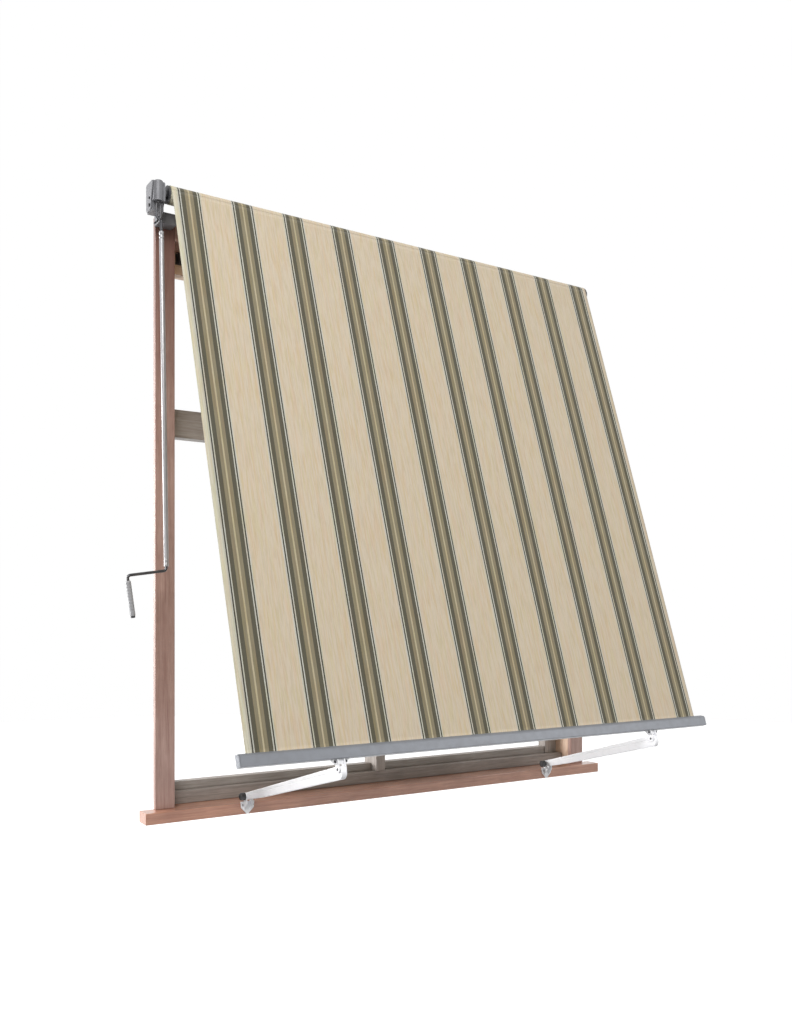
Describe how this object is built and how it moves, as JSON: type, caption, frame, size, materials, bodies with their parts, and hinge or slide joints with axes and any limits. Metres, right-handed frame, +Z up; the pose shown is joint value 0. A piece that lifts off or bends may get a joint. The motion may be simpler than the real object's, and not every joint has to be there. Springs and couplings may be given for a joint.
{
  "type": "window awning",
  "caption": "Drop-arm fabric awning on a timber window frame: roller, hand crank and worm gear at the top, striped cloth, front bar, and two arms hinged at the sill.",
  "frame": {"origin": "middle of the sill board's back face, half way through its thickness", "axes": "+X along the window to the right as seen from outside, +Y into the building, +Z up; the awning reaches out towards -Y"},
  "size_m": [2.1852, 0.9058, 2.165],
  "materials": {
    "varnished_wood": "reddish-brown varnish, weathered",
    "window_wood": "grey-brown stain",
    "grey_casting": "grey coated casting",
    "dark_steel": "dark, worn",
    "rod_aluminium": "satin",
    "grip_plastic": "matte",
    "awning_cloth": "woven acrylic, striped down the drop",
    "bar_aluminium": "anodised",
    "arm_white": "white powder coat",
    "black_plastic": "matte"
  },
  "bodies": {
    "window_frame": {"sill_board": "varnished_wood", "left_lining": "varnished_wood", "right_lining": "varnished_wood", "head_lining": "varnished_wood", "left_architrave": "varnished_wood", "right_architrave": "varnished_wood", "head_architrave": "varnished_wood", "window_bottom_rail": "window_wood", "window_left_stile": "window_wood", "window_right_stile": "window_wood", "right_sash_stile": "window_wood", "window_top_rail": "window_wood", "window_mullion": "window_wood", "left_transom": "window_wood", "right_transom": "window_wood", "left_glazing_rail": "window_wood", "right_glazing_rail": "window_wood", "casement_hinge": "dark_steel", "left_roller_bracket": "grey_casting", "right_roller_bracket": "grey_casting", "gearbox_housing": "grey_casting", "gearbox_cover": "grey_casting", "gearbox_cover_screw": "dark_steel", "gearbox_oil_plug": "dark_steel", "left_sill_bracket": "arm_white", "right_sill_bracket": "arm_white", "left_arm_pin": "dark_steel", "right_arm_pin": "dark_steel", "left_hub_cap": "black_plastic", "right_hub_cap": "black_plastic", "left_bracket_outer_screw": "rod_aluminium", "left_bracket_inner_screw": "rod_aluminium", "right_bracket_outer_screw": "rod_aluminium", "right_bracket_inner_screw": "rod_aluminium"},
    "roller": {"roller_tube": "grey_casting", "left_roller_cap": "dark_steel", "right_roller_cap": "dark_steel", "worm_wheel": "grey_casting"},
    "worm": {"worm_eye": "dark_steel"},
    "crank": {"crank_hook": "dark_steel", "crank_rod": "rod_aluminium", "crank_handle": "dark_steel", "grip_cap": "black_plastic"},
    "grip": {"grip_sleeve": "grip_plastic"},
    "left_arm_body": {"left_arm": "arm_white"},
    "right_arm_body": {"right_arm": "arm_white"},
    "bar": {"front_bar": "bar_aluminium", "left_bar_cap": "bar_aluminium", "right_bar_cap": "bar_aluminium", "hem_rod": "black_plastic", "left_fork": "arm_white", "right_fork": "arm_white", "left_fork_pin": "dark_steel", "right_fork_pin": "dark_steel", "left_fork_outer_screw": "dark_steel", "left_fork_inner_screw": "dark_steel", "right_fork_outer_screw": "dark_steel", "right_fork_inner_screw": "dark_steel"},
    "cloth": {"awning_cloth": "awning_cloth"}
  },
  "joints": [
    {"name": "arm_swing", "type": "hinge", "parent": "window_frame", "child": "left_arm_body", "pos_m": [-0.68, -0.212, 0.046], "axis": [-1, 0, 0], "range_deg": [0, 73]},
    {"name": "right_arm_swing", "type": "hinge", "parent": "window_frame", "child": "right_arm_body", "pos_m": [0.735, -0.212, 0.046], "axis": [-1, 0, 0], "range_deg": [0, 73]},
    {"name": "bar_tilt", "type": "hinge", "parent": "left_arm_body", "child": "bar", "pos_m": [-0.68, -0.88012, 0.23003], "axis": [-1, 0, 0], "range_deg": [-92.4, 0]},
    {"name": "cloth_swing", "type": "hinge", "parent": "window_frame", "child": "cloth", "pos_m": [0, -0.23, 2.1135], "axis": [-1, 0, 0], "range_deg": [-19.4, 0], "deforming": ["awning_cloth"]},
    {"name": "roller_turn", "type": "hinge", "parent": "window_frame", "child": "roller", "pos_m": [0, -0.23, 2.1135], "axis": [1, 0, 0], "range_deg": [-8, 2]},
    {"name": "worm_turn", "type": "hinge", "parent": "window_frame", "child": "worm", "pos_m": [-1.026, -0.258, 2.013], "axis": [0, 0, 1], "range_deg": [-88, 22]},
    {"name": "crank_swing", "type": "hinge", "parent": "worm", "child": "crank", "pos_m": [-1.026, -0.258, 2.013], "axis": [-1, 0, 0], "range_deg": [0, 35]},
    {"name": "grip_spin", "type": "hinge", "parent": "crank", "child": "grip", "pos_m": [-1.12784, -0.25379, 0.80456], "axis": [0.1374, 0, -0.9905], "continuous": true}
  ],
  "couplings": [
    {"joint": "right_arm_swing", "follows": "arm_swing", "ratio": 1},
    {"joint": "bar_tilt", "follows": "arm_swing", "ratio": -1.2656},
    {"joint": "cloth_swing", "follows": "arm_swing", "ratio": -0.26556},
    {"joint": "worm_turn", "follows": "roller_turn", "ratio": 11}
  ]
}
